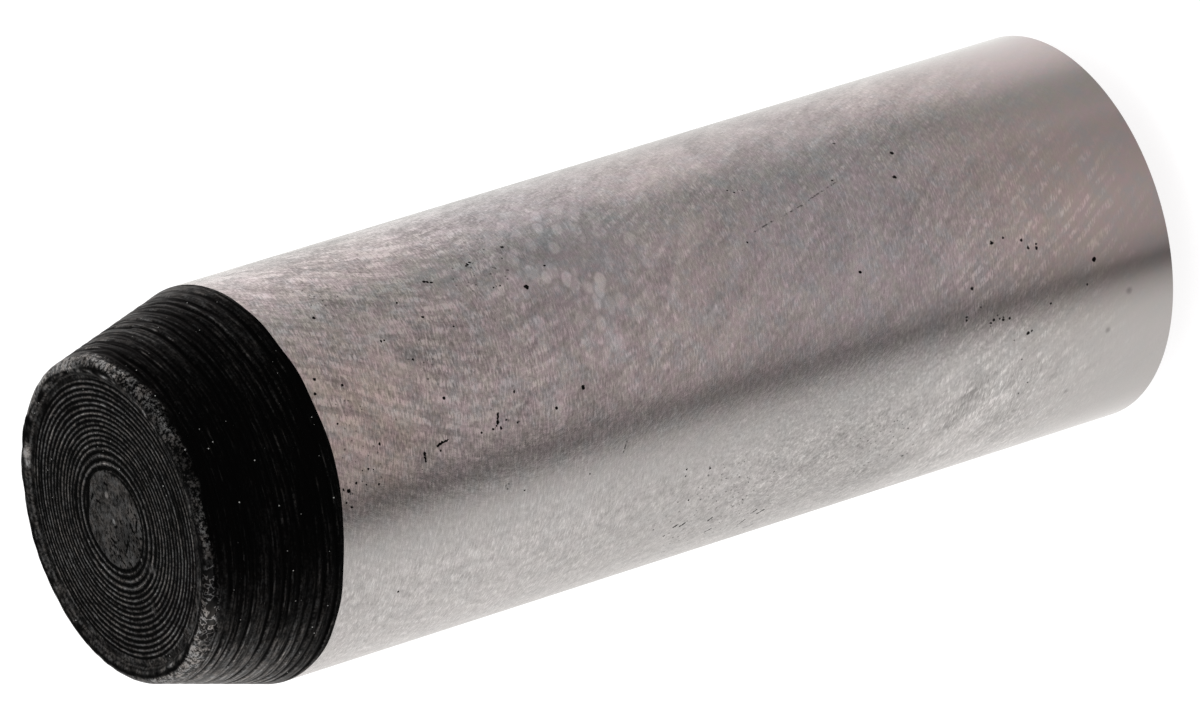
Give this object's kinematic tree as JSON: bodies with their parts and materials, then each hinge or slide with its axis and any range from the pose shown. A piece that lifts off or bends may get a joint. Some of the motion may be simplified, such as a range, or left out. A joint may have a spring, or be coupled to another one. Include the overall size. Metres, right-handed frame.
{
  "type": "dowel pin",
  "caption": "Straight round locating pin of hardened, ground steel, with a tapered black lead at one end and a low crown at the other.",
  "frame": {"origin": "middle of the flat on the crown, in the plane that the pin stands on", "axes": "+Z along the pin's axis, from the crown to the lead end; the pin is round, so X and Y are any two directions across it"},
  "size_m": [0.008, 0.008, 0.024],
  "materials": {
    "steel": "cylindrically ground and bright on the shank, turned and black with hardening scale on the lead end"
  },
  "bodies": {
    "root": {"dowel_pin": "steel"}
  },
  "joints": []
}
